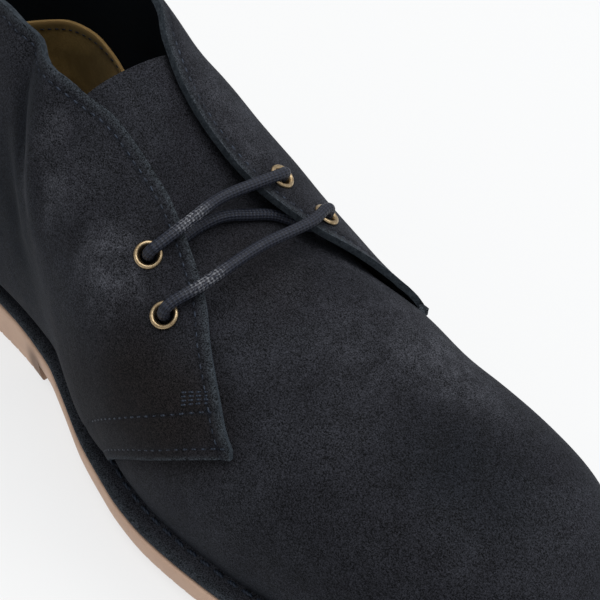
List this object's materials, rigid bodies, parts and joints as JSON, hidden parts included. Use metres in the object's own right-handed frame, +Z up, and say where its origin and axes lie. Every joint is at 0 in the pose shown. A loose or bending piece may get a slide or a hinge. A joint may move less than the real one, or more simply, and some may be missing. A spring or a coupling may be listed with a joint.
{
  "type": "chukka boot",
  "caption": "Low lace-up suede ankle boot for the right foot: hollow upper with turned-out edge, lapped facings, tongue, cord lace and moulded sole with heel",
  "frame": {"origin": "centre of the bounding box on the floor under the sole", "axes": "+X from heel to toe, +Y towards the inner side of the foot, +Z up"},
  "size_m": [0.2972, 0.114, 0.1399],
  "materials": {
    "upper_suede": "napped near-black navy suede",
    "tongue_suede": "napped near-black navy suede",
    "insole_leather": "matt tan lining leather",
    "sole_rubber": "matt tan crepe rubber",
    "eyelet_brass": "antique brass, worn bright on the rim",
    "lace_cord": "waxed round braid"
  },
  "bodies": {
    "root": {"upper": "upper_suede", "tongue": "tongue_suede", "insole": "insole_leather", "outsole": "sole_rubber", "eyelet_outer_top": "eyelet_brass", "eyelet_inner_top": "eyelet_brass", "eyelet_outer_bottom": "eyelet_brass", "eyelet_inner_bottom": "eyelet_brass", "lace": "lace_cord"}
  },
  "joints": []
}
